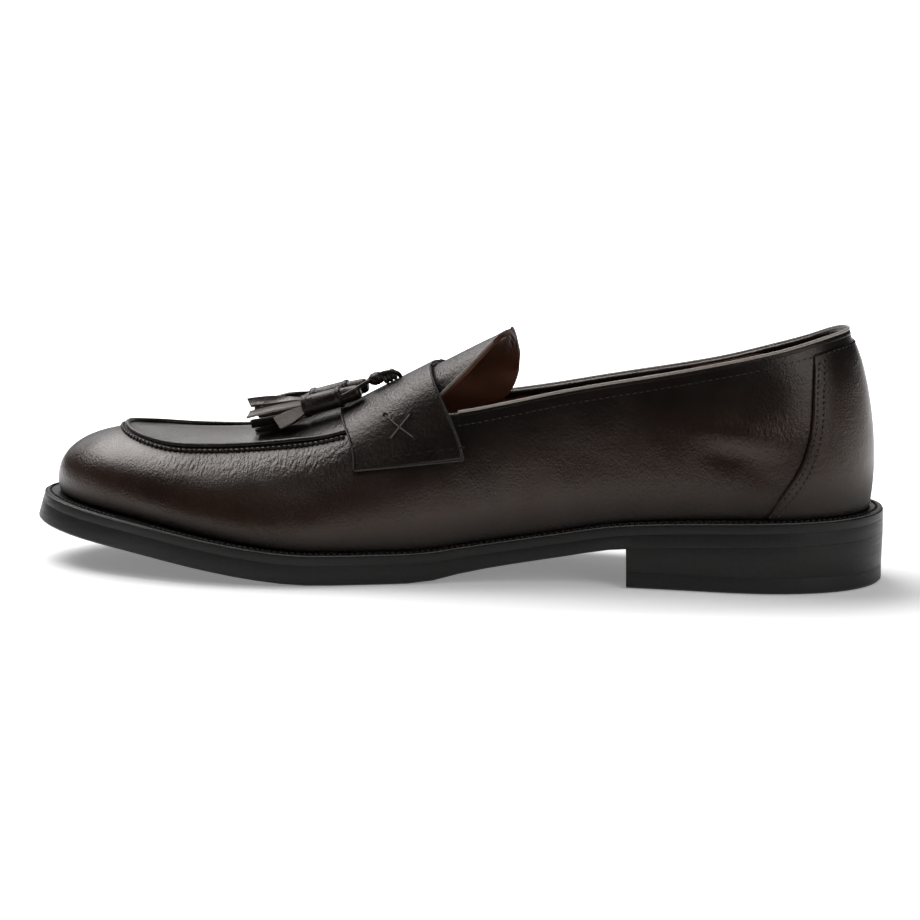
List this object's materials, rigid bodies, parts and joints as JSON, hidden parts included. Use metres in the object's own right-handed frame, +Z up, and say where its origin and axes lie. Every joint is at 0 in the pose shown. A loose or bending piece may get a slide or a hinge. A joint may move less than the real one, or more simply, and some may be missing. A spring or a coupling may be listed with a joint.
{
  "type": "tassel loafer",
  "caption": "Slip-on leather loafer with a raised apron seam, a saddle strap, a pair of tassels on a laced knot, a stitched welt and a low stacked heel.",
  "frame": {"origin": "centre of the shoe's bounding box, at the floor under the heel and forefoot", "axes": "-X towards the toe, -Y towards the inner side of the foot, +Z up"},
  "size_m": [0.3, 0.1054, 0.0879],
  "materials": {
    "leather": "burnished satin",
    "leather_dark": "burnished satin",
    "sole_edge": "waxed satin",
    "heel_rubber": "satin",
    "lining": "matt"
  },
  "bodies": {
    "root": {"upper": "leather", "heel_counter": "leather", "tongue": "leather_dark", "saddle_strap": "leather_dark", "near_tassel": "leather_dark", "far_tassel": "leather_dark", "tassel_lace": "leather_dark", "welt": "sole_edge", "outsole": "sole_edge", "heel_stack": "sole_edge", "heel_top_lift": "heel_rubber", "insole": "lining"}
  },
  "joints": []
}
